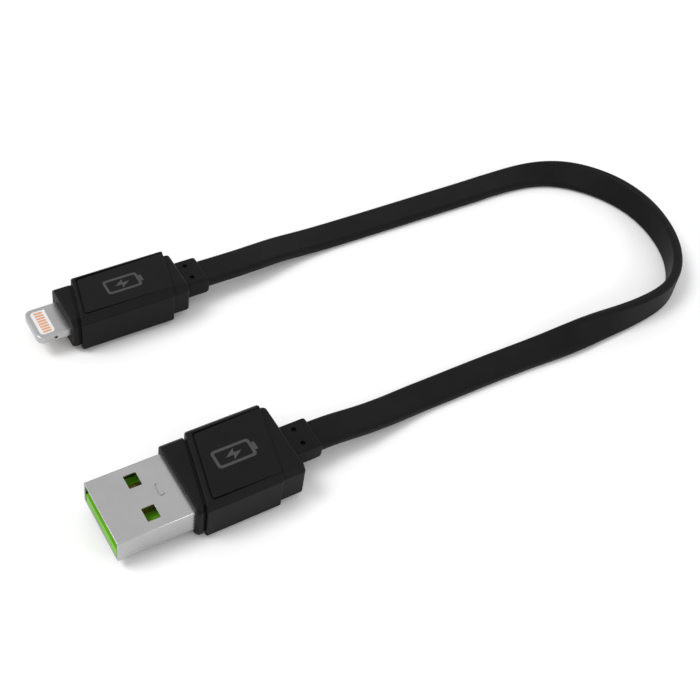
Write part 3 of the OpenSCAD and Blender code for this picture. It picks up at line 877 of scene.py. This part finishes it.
def softened_copy(node, name, slot, width):
    """A node's own shape with its edges softened."""
    source = frame["nodes"][node]
    obj = bpy.data.objects.new(name, source.data.copy())
    bpy.context.scene.collection.objects.link(obj)
    tidy(obj, 2e-6)
    bm = bmesh.new()
    bm.from_mesh(obj.data)
    bmesh.ops.dissolve_limit(bm, angle_limit=math.radians(1), verts=bm.verts, edges=bm.edges)
    bm.to_mesh(obj.data)
    bm.free()
    soften(obj, width)
    return finish_piece(obj, MATERIALS[slot], slot, [node])


# ---------- phone plug's contact end ----------

def ray_exit(outline, centre, direction):
    """Where a ray from centre leaves an outline."""
    best = 0.0
    for a, b in zip(outline, outline[1:] + outline[:1]):
        edge, to = b - a, a - centre
        cross = direction.x * edge.y - direction.y * edge.x
        if abs(cross) < 1e-12:
            continue
        reach = (to.x * edge.y - to.y * edge.x) / cross
        along = (to.x * direction.y - to.y * direction.x) / cross
        if reach > 0 and -1e-9 <= along <= 1 + 1e-9:
            best = max(best, reach)
    return centre + direction * best


def add_tab():
    """The tab: round front corners, rounded edges, a latch pocket in each side, and its window.

    Its outer outline and its window's are read along the same rays, so that they match up.
    """
    front = box_mm("phone_tab_frame")[0].x - phone.x
    bay_x0, bay_x1 = front + BAY_X0, front + BAY_X1
    centre = Vector(((bay_x0 + bay_x1) / 2, 0))
    rays = [Vector(p) for p in circle(0, 0, 1, TAB_POINTS)]

    def read(corners, radius):
        outline = filleted(corners, radius, 10)
        return [ray_exit(outline, centre, ray) for ray in rays]

    def outer(inset):
        return read(rectangle(front + inset, TAB_BACK, -TAB_W / 2 + inset, TAB_W / 2 - inset),
                    TAB_CORNER - inset)

    def inner(grow):
        return read(rectangle(bay_x0 - grow, bay_x1 + grow, -BAY_W / 2 - grow, BAY_W / 2 + grow),
                    BAY_CORNER)

    def level(points, z):
        return [(p.x, p.y, phone.mid + z) for p in points]

    def rounded(a, side):
        inset, drop = TAB_ROUND * (1 - math.sin(a)), TAB_ROUND * (1 - math.cos(a))
        return level(outer(inset), side * (half - drop))

    half = TAB_T / 2
    turns = [math.radians(90) * k / TAB_STEPS for k in range(TAB_STEPS + 1)]
    rings = [level(inner(0), -half + BAY_BEVEL), level(inner(0), half - BAY_BEVEL)]
    rings += [level(inner(BAY_BEVEL), half)]
    rings += [rounded(a, 1) for a in turns] + [rounded(a, -1) for a in reversed(turns)]
    rings += [level(inner(BAY_BEVEL), -half)]
    tab = lofted("phone_metal_tab", rings, phone.place, cyclic=True)
    cut_out(tab, *[tool for side in (-1, 1) for tool in latch_tools(front, side * TAB_W / 2)])
    return finish_piece(tab, MATERIALS["tab_metal"], "tab_metal", ["phone_tab_frame"])


def latch_tools(front, y):
    """The shallow pocket in one side of the tab, deeper at its top, and the hole at its rear end."""
    x0, x1 = front + LATCH_X0, front + LATCH_X1
    out = math.copysign(LATCH_DEPTH, y)
    section = [(y + out, LATCH_TOP), (y - out, LATCH_TOP),
               (y - LATCH_SHALLOW * out, LATCH_BOTTOM), (y + out, LATCH_BOTTOM)]
    pocket = lofted("tool", [across(section, x, phone.mid) for x in (x0, x1)], phone.place)
    hole = circle(x1 + LATCH_HOLE_X, phone.mid, LATCH_HOLE_R)
    rings = [[(x, y + reach, z) for x, z in hole] for reach in (-LATCH_HOLE_DEPTH, LATCH_HOLE_DEPTH)]
    return [pocket, lofted("tool", rings, phone.place)]


def add_tab_insulator():
    """The white plate in the tab's window, a touch below the metal on both sides."""
    lo, hi = box_mm("phone_insulator")
    x0, x1 = lo.x - phone.x + INSULATOR_PLAY, hi.x - phone.x - INSULATOR_PLAY
    y = (hi.y - lo.y) / 2 - INSULATOR_PLAY
    plate = upright("phone_white_insulator",
                    lambda inset: filleted(rectangle(x0, x1, -y, y), BAY_CORNER - inset, 6),
                    phone.mid - INSULATOR_HALF, phone.mid + INSULATOR_HALF, phone.place)
    return finish_piece(plate, MATERIALS["white_plastic"], "white_plastic", ["phone_insulator"])


def add_contact(node, side):
    """One contact, above (side 1) or below (-1): a small plate with round ends, a little proud."""
    lo, hi = box_mm(node)
    corners = rectangle(lo.x - phone.x, hi.x - phone.x, lo.y - phone.y, hi.y - phone.y)
    z0, z1 = sorted(phone.mid + side * z for z in (CONTACT_IN, CONTACT_OUT))
    plate = upright(node + "_plate", lambda inset: filleted(corners, CONTACT_CORNER), z0, z1, phone.place)
    return finish_piece(plate, MATERIALS["contact_copper"], "contact_copper", [node])


# ---------- the room ----------

def add_room():
    """A white floor and world, one wide soft light above, and a small one for the near edges."""
    bpy.ops.mesh.primitive_plane_add(size=6)
    floor = bpy.context.object
    floor.name = "floor"
    floor.data.materials.append(new_material("floor", (0.86, 0.86, 0.86), 0.9, specular=0.0)[0])
    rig.stage(floor)
    world = bpy.data.worlds.new("studio")
    world.use_nodes = True
    background = world.node_tree.nodes["Background"]
    background.inputs["Color"].default_value = (1, 1, 1, 1)
    background.inputs["Strength"].default_value = 0.88
    bpy.context.scene.world = world
    add_light("key", at=(-0.35, 0.15, 0.60), size=0.3, power=2.5)
    add_light("edge", at=(0.26, -0.45, 0.31), size=0.12, power=0.35)


def add_light(name, at, size, power):
    """A round soft light that faces the plugs."""
    data = bpy.data.lights.new(name, "AREA")
    data.shape = "DISK"
    data.size = size
    data.energy = power
    lamp = bpy.data.objects.new(name, data)
    lamp.location = at
    lamp.rotation_euler = (-Vector(at)).to_track_quat("-Z", "Y").to_euler()
    bpy.context.scene.collection.objects.link(lamp)


# ---------- building ----------

bpy.context.scene.view_settings.view_transform = "Standard"
add_camera()
jacket, jacket_path = add_cable()

for plug in (usb, phone):
    add_body(plug)
pieces = {}
for plug in (usb, phone):
    pieces[plug.name] = [add_grip(plug), add_panel(plug, True), add_panel(plug, False), add_mark(plug)]
add_relief(usb)
phone_relief = add_relief(phone)

add_shell()
softened_copy("usb_insulator", "usb_green_insulator", "green_plastic", METAL_EDGE)
tab = add_tab()
insulator = add_tab_insulator()
contacts = [add_contact("phone_contact_top_%d" % (i + 1), 1) for i in range(8)]
under_contacts = [add_contact("phone_contact_bottom_%d" % (i + 1), -1) for i in range(8)]

# The inner pieces keep the CAD's shapes.
for entry in frame["record"]["subparts"]:
    node = frame["nodes"][entry["node"]]
    if not node.hide_render:
        node.data.materials.clear()
        node.data.materials.append(MATERIALS[entry["material_slot"]])

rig.cord(jacket, exit=tuple(usb.place((usb.mouth, 0, usb.mid))), length=0.222, diameter=CABLE_W * MM,
        far_end="connector", stiffness="medium", lay="loose", path=jacket_path,
        with_pieces=[phone_relief, tab, insulator, *pieces["phone"], *contacts, *under_contacts,
                     bpy.data.objects["phone_moulded_body"]])

add_room()

visual_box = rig.bounds()
with open(SIZE_FILE, "w") as out:
    json.dump({"cad": [list(map(float, p)) for p in cad_box], "visual": [list(map(float, p)) for p in visual_box]}, out)
